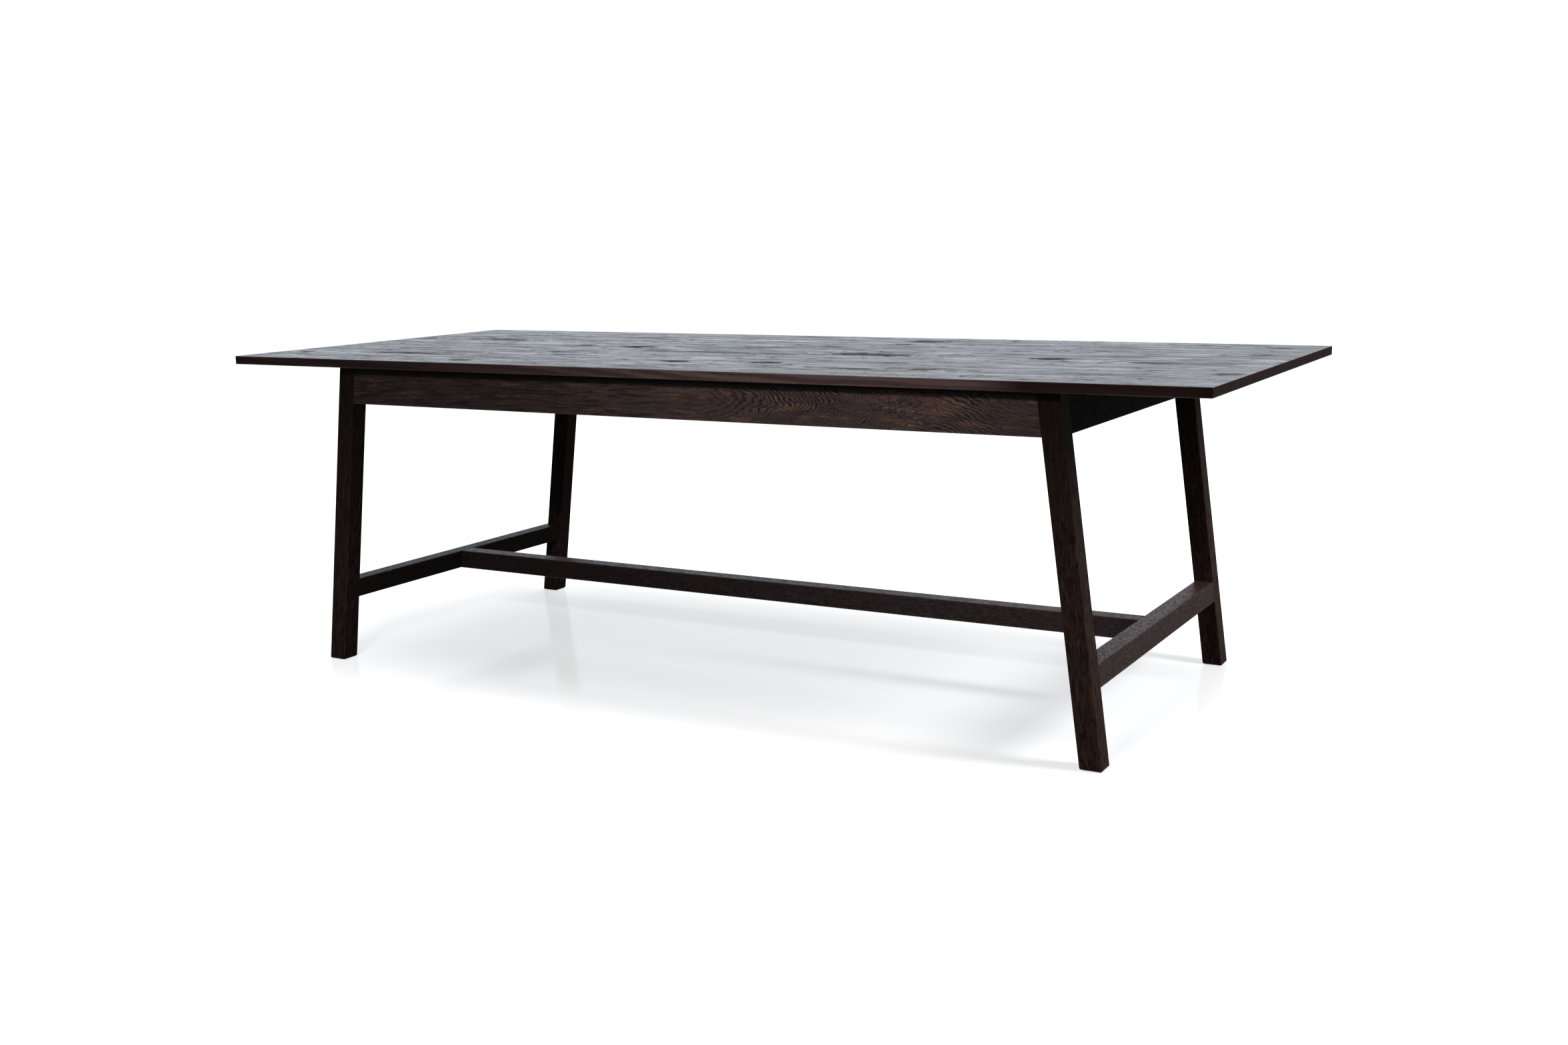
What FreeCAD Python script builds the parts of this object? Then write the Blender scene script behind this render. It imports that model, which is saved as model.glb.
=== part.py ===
import FreeCAD, Part
import math
import os

# Dining table in dark oak: an edge-glued plank top on four square legs that lean lengthwise with their
# feet outward, joined by aprons under the top and by an H stretcher near the floor.
# Origin on the floor under the middle of the top, +X along the length, +Y to the rear, +Z up, millimetres.

# Whole table
table_length = 2400.0
table_width = 1000.0
table_height = 750.0

# Top: lengthwise planks glued edge to edge over loose tongues
plank_count = 8
top_thickness = 20.0
top_edge_round = 1.5
tongue_thickness = 5.0
tongue_width = 16.0
tongue_end_stop = 60.0

# Legs: square stock, leaning in the lengthwise plane only
leg_size = 46.0
leg_lean_degrees = 7.4
foot_inset = 204.0
leg_inset = 45.0
leg_edge_round = 2.5
foot_chamfer = 3.0

# Rails: aprons under the top, stretchers near the floor
rail_reveal = 1.5
apron_height = 90.0
apron_thickness = 22.0
end_apron_thickness = 22.0
apron_edge_round = 2.0
stretcher_rise = 154.0
stretcher_height = 46.0
centre_stretcher_width = 46.0
stretcher_edge_round = 2.5

# Mortise and tenon joints
tenon_thickness = 10.0
tenon_shoulder = 15.0
tenon_wall = 4.0
stretcher_tenon_thickness = 14.0
stretcher_tenon_shoulder = 8.0
mortise_floor = 18.0
mortise_end_gap = 1.5
glue_gap = 0.1

# Bearers: cross rails housed in the long aprons, screwed up into the planks
bearer_count = 3
bearer_width = 60.0
bearer_height = 34.0
bearer_housing = 8.0

# Buttons: blocks screwed to the top, with a tongue in a slot of the apron
button_width = 30.0
button_length = 38.0
button_height = 18.0
button_lip = 10.0
button_tongue = 9.0
button_gap = 1.0
slot_gap = 0.8
end_button_count = 2

# Corner blocks: glued and screwed across the corners of the apron frame
block_thickness = 26.0
block_height = 56.0
block_leg_gap = 4.0
block_screw_spacing = 30.0
block_screw_seat = 10.0

# Countersunk wood screws
screw_diameter = 4.0
screw_head_diameter = 8.0
screw_head_height = 2.4
screw_tip_length = 4.0
screw_bite = 12.0
recess_length = 4.4
recess_width = 1.0
recess_depth = 1.4

# Glides: discs let into the feet, each with a pin
glide_diameter = 28.0
glide_thickness = 4.0
glide_stand_off = 1.0
glide_edge_round = 0.6
glide_pin_diameter = 6.0
glide_pin_length = 18.0

# One overrun for every cut
cut_overrun = 20.0

# Worked out from the sizes above
lean = math.radians(leg_lean_degrees)
top_underside = table_height - top_thickness
apron_bottom = top_underside - apron_height
apron_middle = (apron_bottom + top_underside) / 2
stretcher_top = stretcher_rise + stretcher_height
leg_half_level = leg_size / 2 / math.cos(lean)
foot_axis_x = table_length / 2 - foot_inset - leg_half_level
leg_axis_y = table_width / 2 - leg_inset - leg_size / 2
leg_inner_y = leg_axis_y - leg_size / 2
apron_outer_y = table_width / 2 - leg_inset - rail_reveal
apron_inner_y = apron_outer_y - apron_thickness
apron_middle_y = (apron_outer_y + apron_inner_y) / 2
end_apron_half_level = end_apron_thickness / 2 / math.cos(lean)
end_stretcher_thickness = leg_size - 2 * rail_reveal
end_stretcher_half_level = end_stretcher_thickness / 2 / math.cos(lean)
apron_tenon_length = (leg_size - mortise_floor) / math.cos(lean)
end_tenon_length = leg_size - rail_reveal - (apron_thickness + tenon_thickness) / 2 - tenon_wall
stretcher_tenon_length = leg_size - mortise_floor
centre_tenon_length = (end_stretcher_thickness - mortise_floor) / math.cos(lean)
plank_width = table_width / plank_count

ORIGIN = FreeCAD.Vector(0, 0, 0)
X_AXIS = FreeCAD.Vector(1, 0, 0)
Y_AXIS = FreeCAD.Vector(0, 1, 0)
Z_AXIS = FreeCAD.Vector(0, 0, 1)


def axis_x(z):
    """Where the axis of a right-hand leg is, lengthwise, at height z."""
    return foot_axis_x - math.tan(lean) * z


def around(centre, half):
    """Range with a centre and a half width."""
    return centre - half, centre + half


def box(x_range, y_range, z_range):
    """Level box between two values on each axis."""
    corner = FreeCAD.Vector(x_range[0], y_range[0], z_range[0])
    return Part.makeBox(x_range[1] - x_range[0], y_range[1] - y_range[0], z_range[1] - z_range[0], corner)


def prism_xz(points, y_range):
    """Solid with an outline of (x, z) points, drawn out across the table."""
    corners = [FreeCAD.Vector(x, y_range[0], z) for x, z in points]
    outline = Part.makePolygon(corners + corners[:1])
    return Part.Face(outline).extrude(FreeCAD.Vector(0, y_range[1] - y_range[0], 0))


def prism_yz(points, x_range):
    """Solid with an outline of (y, z) points, drawn out along the table."""
    corners = [FreeCAD.Vector(x_range[0], y, z) for y, z in points]
    outline = Part.makePolygon(corners + corners[:1])
    return Part.Face(outline).extrude(FreeCAD.Vector(x_range[1] - x_range[0], 0, 0))


def prism_xy(points, z_range):
    """Solid with an outline of (x, y) points, drawn upward."""
    corners = [FreeCAD.Vector(x, y, z_range[0]) for x, y in points]
    outline = Part.makePolygon(corners + corners[:1])
    return Part.Face(outline).extrude(FreeCAD.Vector(0, 0, z_range[1] - z_range[0]))


def lean_section(half_level, z_range):
    """Outline of a rail in the right-hand end frame: level top and bottom, sides that lean with the legs."""
    low, high = z_range
    return [
        (axis_x(low) - half_level, low),
        (axis_x(low) + half_level, low),
        (axis_x(high) + half_level, high),
        (axis_x(high) - half_level, high),
    ]


def long_section(inward, z_range):
    """Outline of a lengthwise rail that ends on both sides this far inward of the leg axes."""
    low, high = z_range
    return [
        (inward - axis_x(low), low),
        (axis_x(low) - inward, low),
        (axis_x(high) - inward, high),
        (inward - axis_x(high), high),
    ]


def edges_along(solid, direction):
    """Straight edges parallel to a direction."""
    found = []
    for edge in solid.Edges:
        span = edge.Vertexes[-1].Point - edge.Vertexes[0].Point
        if span.cross(direction).Length < solid.BoundBox.DiagonalLength * Part.Precision.approximation():
            found.append(edge)
    return found


def edges_at_height(edges, z):
    """Those of the edges that lie at one height."""
    tolerance = Part.Precision.approximation()
    found = []
    for edge in edges:
        if all(math.isclose(vertex.Z, z, abs_tol=tolerance) for vertex in edge.Vertexes):
            found.append(edge)
    return found


def flipped_x(shape):
    """Mirror image at the other end of the table."""
    return shape.mirror(ORIGIN, X_AXIS)


def flipped_y(shape):
    """Mirror image at the other side of the table."""
    return shape.mirror(ORIGIN, Y_AXIS)


def at_ends(shape):
    """A shape of the right-hand end, and its mirror image at the left."""
    return {"right": shape, "left": flipped_x(shape)}


def at_sides(shape):
    """A shape of the rear side, and its mirror image at the front."""
    return {"rear": shape, "front": flipped_y(shape)}


def at_corners(shape):
    """A shape of the right rear corner, mirrored to all four corners."""
    corners = {}
    for side, side_shape in at_sides(shape).items():
        for end, end_shape in at_ends(side_shape).items():
            corners[side + "_" + end] = end_shape
    return corners


def aimed(shape, base, direction):
    """A copy of a shape drawn along +Z, set down at a point and turned to a direction."""
    copy = shape.copy()
    copy.Placement = FreeCAD.Placement(base, FreeCAD.Rotation(Z_AXIS, direction))
    return copy


def turned(points):
    """Solid of revolution about Z from (radius, z) points."""
    corners = [FreeCAD.Vector(radius, 0, z) for radius, z in points]
    outline = Part.makePolygon(corners + corners[:1])
    return Part.Face(outline).revolve(ORIGIN, Z_AXIS)


def make_screw(length):
    """Countersunk screw pointing up, its head face at the origin, with a cross recess."""
    shank = screw_diameter / 2
    head = screw_head_diameter / 2
    screw = turned([
        (0, 0),
        (head, 0),
        (shank, screw_head_height),
        (shank, length - screw_tip_length),
        (0, length),
    ])
    long_way = around(0, recess_length / 2)
    short_way = around(0, recess_width / 2)
    depth = (-cut_overrun, recess_depth)
    recess = box(long_way, short_way, depth).fuse(box(short_way, long_way, depth))
    return screw.cut(recess)


def make_screw_hole(length):
    """Room for a screw of this length, open behind its head."""
    shank = screw_diameter / 2 + glue_gap
    head = screw_head_diameter / 2 + glue_gap
    return turned([
        (0, -cut_overrun),
        (head, -cut_overrun),
        (head, 0),
        (shank, screw_head_height),
        (shank, length - screw_tip_length),
        (0, length + glue_gap),
    ])


def apron_tenon_heights(gap):
    """Height range of the aprons' tenons, or with a gap of their mortises."""
    return apron_bottom + tenon_shoulder - gap, top_underside - tenon_shoulder + gap


def stretcher_tenon_heights(gap):
    """Height range of the stretchers' tenons, or with a gap of their mortises."""
    return stretcher_rise + stretcher_tenon_shoulder - gap, stretcher_top - stretcher_tenon_shoulder + gap


def apron_tenons(gap=0, end_gap=0):
    """Bar through the rear apron that stands out as its tenons, or with gaps as their mortises."""
    outline = long_section(leg_half_level - apron_tenon_length - end_gap, apron_tenon_heights(gap))
    return prism_xz(outline, around(apron_middle_y, tenon_thickness / 2 + gap))


def end_apron_tenons(gap=0, end_gap=0):
    """Bar through the right apron that stands out as its tenons, or with gaps as their mortises."""
    half_level = (tenon_thickness / 2 + gap) / math.cos(lean)
    outline = lean_section(half_level, apron_tenon_heights(gap))
    return prism_xz(outline, around(0, leg_inner_y + end_tenon_length + end_gap))


def end_stretcher_tenons(gap=0, end_gap=0):
    """Bar through the right end stretcher that stands out as its tenons, or with gaps as their mortises."""
    half_level = (stretcher_tenon_thickness / 2 + gap) / math.cos(lean)
    outline = lean_section(half_level, stretcher_tenon_heights(gap))
    return prism_xz(outline, around(0, leg_inner_y + stretcher_tenon_length + end_gap))


def centre_stretcher_tenons(gap=0, end_gap=0):
    """Bar through the centre stretcher that stands out as its tenons, or with gaps as their mortises."""
    inward = end_stretcher_half_level - centre_tenon_length - end_gap
    outline = long_section(inward, stretcher_tenon_heights(gap))
    return prism_xz(outline, around(0, stretcher_tenon_thickness / 2 + gap))


def make_leg():
    """Right rear leg with its foot chamfer, three mortises and the recess for its glide."""
    stock_length = table_height / math.cos(lean) + 2 * cut_overrun
    corner = FreeCAD.Vector(-leg_size / 2, -leg_size / 2, -cut_overrun)
    stock = Part.makeBox(leg_size, leg_size, stock_length, corner)
    stock = stock.makeFillet(leg_edge_round, edges_along(stock, Z_AXIS))
    stock.rotate(ORIGIN, Y_AXIS, -leg_lean_degrees)
    stock.translate(FreeCAD.Vector(foot_axis_x, leg_axis_y, 0))
    leg = stock.common(box((0, table_length), (0, table_width), (glide_stand_off, top_underside)))
    leg = leg.common(foot_taper())
    for mortises in (apron_tenons, end_apron_tenons, end_stretcher_tenons):
        leg = leg.cut(mortises(glue_gap, mortise_end_gap))
    return leg.cut(make_glide_recess())


def foot_taper():
    """Block that widens upward at 45 degrees from the right rear foot, which it chamfers all round."""
    across = widening(axis_x(glide_stand_off), leg_half_level - foot_chamfer)
    along = widening(leg_axis_y, leg_size / 2 - foot_chamfer)
    return prism_xz(across, (0, table_width)).common(prism_yz(along, (0, table_length)))


def widening(centre, half):
    """Outline from the foot up that widens at 45 degrees from a centre and a half width."""
    low, high = glide_stand_off, table_height
    rise = high - low
    return [
        (centre - half, low),
        (centre + half, low),
        (centre + half + rise, high),
        (centre - half - rise, high),
    ]


def glide_place():
    """Middle of the right rear foot, on the floor."""
    return FreeCAD.Vector(axis_x(glide_stand_off), leg_axis_y, 0)


def make_glide():
    """Glide of the right rear foot: a disc with a softened rim and a pin."""
    disc = Part.makeCylinder(glide_diameter / 2, glide_thickness)
    disc = disc.makeFillet(glide_edge_round, edges_at_height(disc.Edges, 0))
    pin = Part.makeCylinder(glide_pin_diameter / 2, glide_thickness + glide_pin_length)
    return aimed(disc.fuse(pin).removeSplitter(), glide_place(), Z_AXIS)


def make_glide_recess():
    """Room in the foot for the glide's disc and pin."""
    base = FreeCAD.Vector(0, 0, -cut_overrun)
    disc = Part.makeCylinder(glide_diameter / 2 + glue_gap, glide_thickness + cut_overrun, base)
    pin_depth = glide_thickness + glide_pin_length + mortise_end_gap
    pin = Part.makeCylinder(glide_pin_diameter / 2 + glue_gap, pin_depth + cut_overrun, base)
    return aimed(disc.fuse(pin), glide_place(), Z_AXIS)


def station_spacing():
    """Spacing of the bearers, which divide the clear length between the legs evenly."""
    return 2 * (axis_x(top_underside) - leg_half_level) / (bearer_count + 1)


def bearer_places():
    """Lengthwise places of the bearers."""
    return [station_spacing() * (index - (bearer_count - 1) / 2) for index in range(bearer_count)]


def button_places():
    """Lengthwise places of the buttons on one long apron, midway between bearers and legs."""
    return [station_spacing() * (index - bearer_count / 2) for index in range(bearer_count + 1)]


def end_button_places():
    """Places of the buttons on one end apron, at the middles of equal shares of its length."""
    share = 2 * leg_inner_y / end_button_count
    return [share * (index - (end_button_count - 1) / 2) for index in range(end_button_count)]


def make_bearer(place):
    """Cross rail under the top, its ends let into the long aprons, drilled for its screws."""
    x_range = around(place, bearer_width / 2)
    z_range = (top_underside - bearer_height, top_underside)
    bearer = box(x_range, around(0, apron_inner_y + bearer_housing), z_range)
    return bearer.cut(bearer_screws(place, make_screw_hole))


def bearer_notch(place):
    """Housing in the rear apron for the end of a bearer."""
    x_range = around(place, bearer_width / 2 + glue_gap)
    y_range = (apron_inner_y - cut_overrun, apron_inner_y + bearer_housing + glue_gap)
    return box(x_range, y_range, (top_underside - bearer_height - glue_gap, top_underside + cut_overrun))


def bearer_screws(place, make):
    """Screws of one bearer, or their holes, one in the middle of each plank but the outer two."""
    single = make(bearer_height + screw_bite)
    solids = []
    for index in range(1, plank_count - 1):
        y = plank_width * (index + 1 / 2) - table_width / 2
        solids.append(aimed(single, FreeCAD.Vector(place, y, top_underside - bearer_height), Z_AXIS))
    return Part.makeCompound(solids)


def button_screw(make):
    """Screw of a button in the button's own frame, or its hole."""
    base = FreeCAD.Vector(0, -button_gap - button_length / 2, -button_height)
    return aimed(make(button_height + screw_bite), base, Z_AXIS)


def plain_button():
    """Button with its tongue along +Y: origin where the apron's inner face meets the top's underside."""
    x_range = around(0, button_width / 2)
    body = box(x_range, (-button_gap - button_length, -button_gap), (-button_height, 0))
    tongue = box(x_range, (-button_gap - button_length / 2, button_tongue), (-button_height, -button_lip))
    return body.fuse(tongue).removeSplitter().cut(button_screw(make_screw_hole))


def button_slot():
    """Slot in an apron for a button's tongue, in the button's own frame."""
    x_range = around(0, button_width / 2 + slot_gap)
    return box(x_range, (-cut_overrun, button_tongue + slot_gap), (-button_height - slot_gap, -button_lip))


def set_on_apron(shape, place):
    """A shape in the button's frame, moved to its place on the rear apron."""
    copy = shape.copy()
    copy.translate(FreeCAD.Vector(place, apron_inner_y, top_underside))
    return copy


def set_on_end_apron(shape, place):
    """A shape in the button's frame, moved to its place on the right apron."""
    copy = shape.copy()
    copy.rotate(ORIGIN, Z_AXIS, -90)
    copy.translate(FreeCAD.Vector(axis_x(top_underside) - end_apron_half_level, place, top_underside))
    return copy


def all_on_aprons(shape):
    """Copies of a shape in the button's frame at every place on both long aprons."""
    rear = Part.makeCompound([set_on_apron(shape, place) for place in button_places()])
    return list(at_sides(rear).values())


def all_on_end_aprons(shape):
    """Copies of a shape in the button's frame at every place on both end aprons."""
    right = Part.makeCompound([set_on_end_apron(shape, place) for place in end_button_places()])
    return list(at_ends(right).values())


def gathered(compounds):
    """One compound of all the solids in several."""
    return Part.makeCompound([solid for compound in compounds for solid in compound.Solids])


def make_apron():
    """Rear apron: tenoned into both rear legs, notched for the bearers and slotted for the buttons."""
    outline = long_section(leg_half_level, (apron_bottom, top_underside))
    board = prism_xz(outline, (apron_inner_y, apron_outer_y))
    board = board.makeFillet(apron_edge_round, edges_at_height(edges_along(board, X_AXIS), apron_bottom))
    apron = board.fuse(apron_tenons()).removeSplitter()
    for place in bearer_places():
        apron = apron.cut(bearer_notch(place))
    for place in button_places():
        apron = apron.cut(set_on_apron(button_slot(), place))
    for corner_screws in at_ends(block_screws(make_screw_hole)).values():
        apron = apron.cut(corner_screws)
    return apron


def make_end_apron():
    """Right apron: leans with the end frame, tenoned into both right legs and slotted for the buttons."""
    outline = lean_section(end_apron_half_level, (apron_bottom, top_underside))
    board = prism_xz(outline, around(0, leg_inner_y))
    board = board.makeFillet(apron_edge_round, edges_at_height(edges_along(board, Y_AXIS), apron_bottom))
    apron = board.fuse(end_apron_tenons()).removeSplitter()
    for place in end_button_places():
        apron = apron.cut(set_on_end_apron(button_slot(), place))
    for corner_screws in at_sides(block_screws(make_screw_hole)).values():
        apron = apron.cut(corner_screws)
    return apron


def make_end_stretcher():
    """Right end stretcher: leans with the end frame, mortised on its inner face for the centre stretcher."""
    outline = lean_section(end_stretcher_half_level, (stretcher_rise, stretcher_top))
    rail = prism_xz(outline, around(0, leg_inner_y))
    rail = rail.makeFillet(stretcher_edge_round, edges_along(rail, Y_AXIS))
    rail = rail.fuse(end_stretcher_tenons()).removeSplitter()
    return rail.cut(centre_stretcher_tenons(glue_gap, mortise_end_gap))


def make_centre_stretcher():
    """Lengthwise stretcher between the end stretchers, tenoned into both."""
    outline = long_section(end_stretcher_half_level, (stretcher_rise, stretcher_top))
    rail = prism_xz(outline, around(0, centre_stretcher_width / 2))
    rail = rail.makeFillet(stretcher_edge_round, edges_along(rail, X_AXIS))
    return rail.fuse(centre_stretcher_tenons()).removeSplitter()


def block_bands():
    """Where the right rear block meets the two aprons: x range on the long one, y range on the end one."""
    block_top = apron_middle + block_height / 2
    corner_x = axis_x(block_top) - leg_half_level
    near = block_leg_gap * math.sqrt(2)
    far = near + block_thickness * math.sqrt(2)
    beside_long = apron_inner_y - leg_inner_y
    beside_end = leg_half_level - end_apron_half_level
    x_range = (corner_x - beside_long - far, corner_x - beside_long - near)
    y_range = (leg_inner_y - beside_end - far, leg_inner_y - beside_end - near)
    return x_range, y_range


def make_corner_block():
    """Right rear block: a slab set diagonally between the aprons, its end trimmed to the leaning apron."""
    x_range, y_range = block_bands()
    z_range = around(apron_middle, block_height / 2)
    face_x = axis_x(z_range[1]) - end_apron_half_level
    outline = [
        (x_range[0], apron_inner_y),
        (face_x + cut_overrun, y_range[0] - cut_overrun),
        (face_x + cut_overrun, y_range[1] - cut_overrun),
        (x_range[1], apron_inner_y),
    ]
    block = prism_xy(outline, z_range)
    block = block.common(prism_xz(long_section(end_apron_half_level, z_range), (0, table_width)))
    return block.cut(block_screws(make_screw_hole))


def block_screws(make):
    """Screws of the right rear block, or their holes: two into the long apron and two into the end one."""
    x_range, y_range = block_bands()
    single = make(block_screw_seat + screw_bite)
    solids = []
    for z in around(apron_middle, block_screw_spacing / 2):
        into_long = FreeCAD.Vector(sum(x_range) / 2, apron_inner_y - block_screw_seat, z)
        face_x = axis_x(z) - end_apron_half_level
        into_end = FreeCAD.Vector(face_x - block_screw_seat, sum(y_range) / 2, z)
        solids.append(aimed(single, into_long, Y_AXIS))
        solids.append(aimed(single, into_end, X_AXIS))
    return Part.makeCompound(solids)


def tongue_box(index, gap=0):
    """Loose tongue between a plank and the next, or with a gap the room for it."""
    y = plank_width * (index + 1) - table_width / 2
    z = table_height - top_thickness / 2
    half_length = table_length / 2 - tongue_end_stop
    return box(
        around(0, half_length + gap),
        around(y, tongue_width / 2 + gap),
        around(z, tongue_thickness / 2 + gap),
    )


def make_planks():
    """The planks of the top from front to rear: one slab with softened arrises, sawn at the joints."""
    slab = box(around(0, table_length / 2), around(0, table_width / 2), (top_underside, table_height))
    slab = slab.makeFillet(top_edge_round, slab.Edges)
    cuts = [tongue_box(index, glue_gap) for index in range(plank_count - 1)]
    cuts += [bearer_screws(place, make_screw_hole) for place in bearer_places()]
    cuts += all_on_aprons(button_screw(make_screw_hole))
    cuts += all_on_end_aprons(button_screw(make_screw_hole))
    planks = []
    for index in range(plank_count):
        y_low = plank_width * index - table_width / 2
        x_room = around(0, table_length / 2 + cut_overrun)
        z_room = (top_underside - cut_overrun, table_height + cut_overrun)
        plank = slab.common(box(x_room, (y_low, y_low + plank_width), z_room))
        planks.append(plank.cut(gathered(cuts)))
    return planks


def build_nodes():
    """Every piece of the table by its name."""
    nodes = {}
    for index, plank in enumerate(make_planks()):
        nodes["top_plank_%d" % (index + 1)] = plank
    for index in range(plank_count - 1):
        nodes["plank_tongue_%d" % (index + 1)] = tongue_box(index)
    for corner, leg in at_corners(make_leg()).items():
        nodes["leg_" + corner] = leg
    for corner, glide in at_corners(make_glide()).items():
        nodes["foot_glide_" + corner] = glide
    for corner, block in at_corners(make_corner_block()).items():
        nodes["corner_block_" + corner] = block
    for side, apron in at_sides(make_apron()).items():
        nodes["apron_" + side] = apron
    for end, apron in at_ends(make_end_apron()).items():
        nodes["apron_" + end] = apron
    for end, stretcher in at_ends(make_end_stretcher()).items():
        nodes["end_stretcher_" + end] = stretcher
    nodes["centre_stretcher"] = make_centre_stretcher()
    for index, place in enumerate(bearer_places()):
        nodes["bearer_%d" % (index + 1)] = make_bearer(place)
    nodes["apron_buttons"] = gathered(all_on_aprons(plain_button()))
    nodes["end_apron_buttons"] = gathered(all_on_end_aprons(plain_button()))
    screw = button_screw(make_screw)
    nodes["button_screws"] = gathered(all_on_aprons(screw) + all_on_end_aprons(screw))
    nodes["bearer_screws"] = gathered([bearer_screws(place, make_screw) for place in bearer_places()])
    nodes["corner_block_screws"] = gathered(at_corners(block_screws(make_screw)).values())
    return nodes


os.makedirs("parts", exist_ok=True)
for name, shape in build_nodes().items():
    shape.exportStep("parts/%s.step" % name)
    print(name, len(shape.Solids), shape.isValid(), round(shape.Volume))
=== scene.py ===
import math
import random
from collections import namedtuple
import bpy
from mathutils import Matrix, Vector


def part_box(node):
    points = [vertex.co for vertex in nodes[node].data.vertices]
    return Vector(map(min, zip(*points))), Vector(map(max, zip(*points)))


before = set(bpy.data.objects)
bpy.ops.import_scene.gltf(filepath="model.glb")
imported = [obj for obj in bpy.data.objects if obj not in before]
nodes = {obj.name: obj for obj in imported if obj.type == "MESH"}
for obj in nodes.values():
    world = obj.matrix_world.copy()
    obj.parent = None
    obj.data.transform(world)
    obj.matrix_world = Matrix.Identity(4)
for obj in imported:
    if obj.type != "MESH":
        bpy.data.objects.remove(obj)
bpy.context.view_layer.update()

# Driving sizes of the table in metres, as in the CAD source
TABLE_LENGTH = 2.4
TABLE_WIDTH = 1.0
TABLE_HEIGHT = 0.75
PLANK_COUNT = 8
TOP_THICKNESS = 0.020
LEG_SIZE = 0.046
LEAN = math.radians(7.4)
FOOT_INSET = 0.204
LEG_INSET = 0.045
RAIL_REVEAL = 0.0015
APRON_HEIGHT = 0.090
APRON_THICKNESS = 0.022
STRETCHER_RISE = 0.154
STRETCHER_HEIGHT = 0.046

# Sizes and places that follow from them
PLANK_WIDTH = TABLE_WIDTH / PLANK_COUNT
TOP_UNDERSIDE = TABLE_HEIGHT - TOP_THICKNESS
APRON_MIDDLE_Y = TABLE_WIDTH / 2 - LEG_INSET - RAIL_REVEAL - APRON_THICKNESS / 2
APRON_MIDDLE_Z = TOP_UNDERSIDE - APRON_HEIGHT / 2
STRETCHER_MIDDLE_Z = STRETCHER_RISE + STRETCHER_HEIGHT / 2
END_STRETCHER_THICKNESS = LEG_SIZE - 2 * RAIL_REVEAL
LEG_MIDDLE_Y = TABLE_WIDTH / 2 - LEG_INSET - LEG_SIZE / 2
LEG_MIDDLE_Z = TOP_UNDERSIDE / 2
FOOT_AXIS_X = TABLE_LENGTH / 2 - FOOT_INSET - LEG_SIZE / 2 / math.cos(LEAN)

# Half lengths of the frame's boards, to where their ends' arrises are worn and get a painted highlight:
# hidden in the joints but for the feet
APRON_HALF_LENGTH = 0.9
END_RAIL_HALF_LENGTH = 0.41
CENTRE_HALF_LENGTH = 0.93
LEG_HALF_LENGTH = 0.37

SIDES = (("front", -1), ("rear", 1))
ENDS = (("right", 1), ("left", -1))
X_AXIS = (1, 0, 0)
Y_AXIS = (0, 1, 0)
Z_AXIS = (0, 0, 1)
X_AND_Y = (1, 1, 0)

# Looks of the stained oak. Colours are linear: open pores, plain wood, and warm wood that took less stain.
# Scales are waves per metre along the grain, across it and into the board. Lengths are in metres. A range is
# where a noise or a wave starts and ends a soft step.
# Rings have a spacing, a crest (range of the wave that is dark), a fade (scale of what weakens them) and a
# strength, ring. Fine lines that follow them have hair_spacing and the strength hair.
# The grain bends slowly (scale slow, length waviness) and quickly (scale quick, length raggedness), and drift
# is how far the bends shift a dive. In calm stretches, from one x to another, a share of the figure is left.
# Streaks have a scale, a range (sharp), a strength (streak) and a share that figured grain takes (figured).
# Flecks, patches and lines are scales, warmth is the patches' range, and pore, seam and wear_and_highlight
# are strengths.
# Plain wood is as rough as gloss says. Dark grain adds roughened, streaks, flecks and knots add dull, lines
# add lined, and faces that look sideways add sawn. On faces that look up painted_sheen_saturation scales the
# saturation: a painted sheen, greyer on the top and richer on the stretchers.
LEG_LOOK = {
    "colours": ((0.004, 0.0026, 0.0024), (0.0228, 0.0140, 0.0120), (0.046, 0.0258, 0.0185)),
    "stain_colour": (0.004, 0.0026, 0.0024),
    "spacing": 0.0042, "crest": (-0.2, 1.0), "fade": (7.0, 30.0, 30.0), "ring": 0.3,
    "hair": 0.0, "hair_spacing": 0.0016,
    "slow": (1.6, 8.0, 8.0), "waviness": 0.006, "quick": (10.0, 120.0, 120.0), "raggedness": 0.003,
    "drift": 0.0, "calm": (),
    "streaks": (34.0, 170.0, 170.0), "sharp": (0.43, 0.62), "streak": 0.85, "figured": 0.0,
    "flecks": (24.0, 40.0, 40.0), "patches": (30.0, 120.0, 120.0), "warmth": (0.53, 0.68),
    "lines": (10.0, 26.0, 26.0), "pore": 0.5, "seam": 0.0, "wear_and_highlight": 0.4,
    "gloss": 0.6, "roughened": 0.1, "dull": 0.0, "lined": 0.0, "sawn": 0.0, "painted_sheen_saturation": 1.0,
    "bump": 0.25, "ior": 1.05,
}
STRETCHER_LOOK = dict(
    LEG_LOOK,
    colours=((0.005, 0.0038, 0.0036), (0.034, 0.0255, 0.0250), (0.058, 0.041, 0.037)),
    streaks=(80.0, 240.0, 240.0), streak=0.6, flecks=(90.0, 200.0, 200.0), patches=(60.0, 160.0, 160.0),
    gloss=0.25, dull=0.2, sawn=0.75, painted_sheen_saturation=2.0, ior=1.138,
)
# The left end stretcher's oak is a darker copy of the stretchers' oak: painted shade, as it stands in the
# shadow of the top.
LEFT_STRETCHER_SHADED_LOOK = dict(
    STRETCHER_LOOK,
    colours=((0.003, 0.0024, 0.0024), (0.016, 0.0118, 0.0116), (0.026, 0.0165, 0.014)),
    ior=1.098,
)
# The end aprons' oak is painted near black and slightly cool: painted shade for the shadow under the top's
# overhang.
END_APRON_SHADED_LOOK = dict(
    LEG_LOOK,
    colours=((0.0025, 0.0022, 0.0025), (0.0085, 0.0075, 0.0082), (0.014, 0.0110, 0.0105)),
    ior=1.03,
)
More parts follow.
